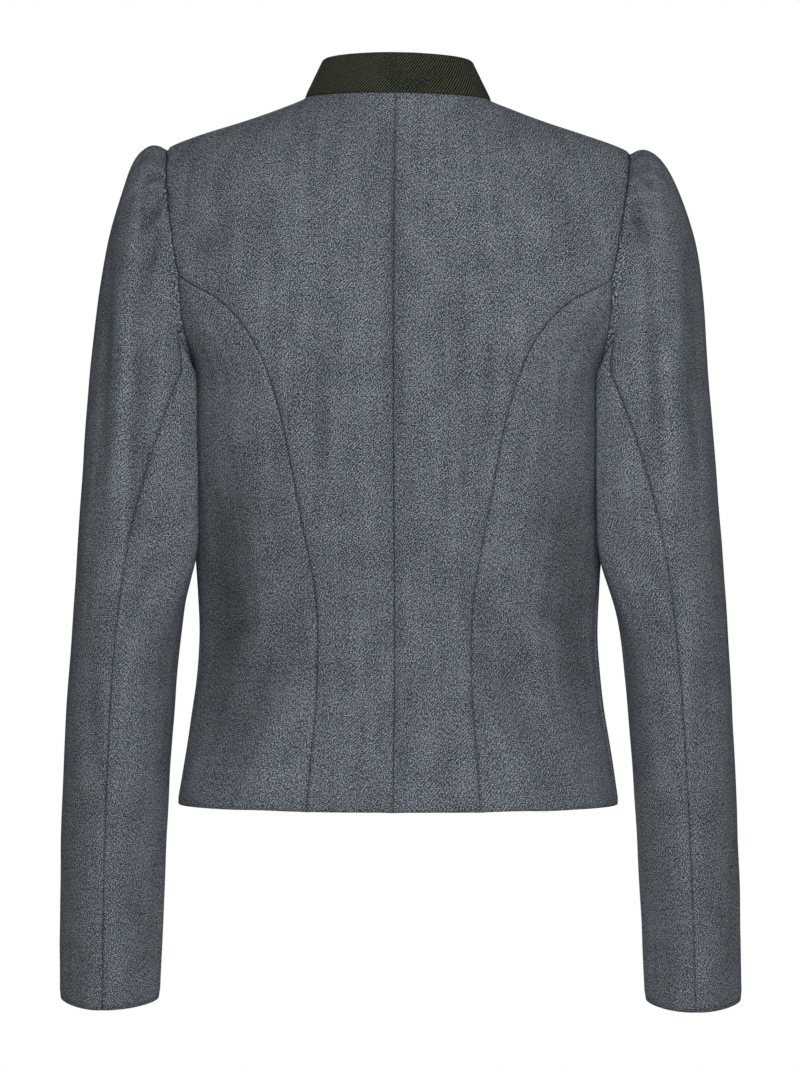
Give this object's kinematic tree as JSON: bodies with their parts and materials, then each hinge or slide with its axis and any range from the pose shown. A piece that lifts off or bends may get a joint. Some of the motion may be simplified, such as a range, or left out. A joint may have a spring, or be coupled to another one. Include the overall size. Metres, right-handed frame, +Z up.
{
  "type": "tyrolean loden jacket",
  "caption": "Fitted hip-length loden jacket in its worn form, open at neck, hem and cuffs, with a stand collar, princess seams and two-piece sleeves.",
  "frame": {"origin": "midway between the neck ends of the two shoulder seams, where the wearer's shoulders carry the jacket", "axes": "+Z up, +Y towards the back of the jacket, +X towards the wearer's left"},
  "size_m": [0.4994, 0.2448, 0.6893],
  "materials": {
    "loden": "blue-grey melange felted wool twill, matt with a short nap",
    "green_loden": "dark olive-green felted wool twill, matt",
    "horn": "plain turned dark horn, satin"
  },
  "bodies": {
    "root": {"back_left": "loden", "back_right": "loden", "side_back_left": "loden", "side_back_right": "loden", "side_front_left": "loden", "side_front_right": "loden", "front_left": "loden", "front_right": "loden", "topsleeve_left": "loden", "topsleeve_right": "loden", "undersleeve_left": "loden", "undersleeve_right": "loden", "stand_collar": "green_loden", "button_1": "horn", "button_2": "horn", "button_3": "horn", "button_4": "horn", "button_5": "horn"}
  },
  "joints": []
}
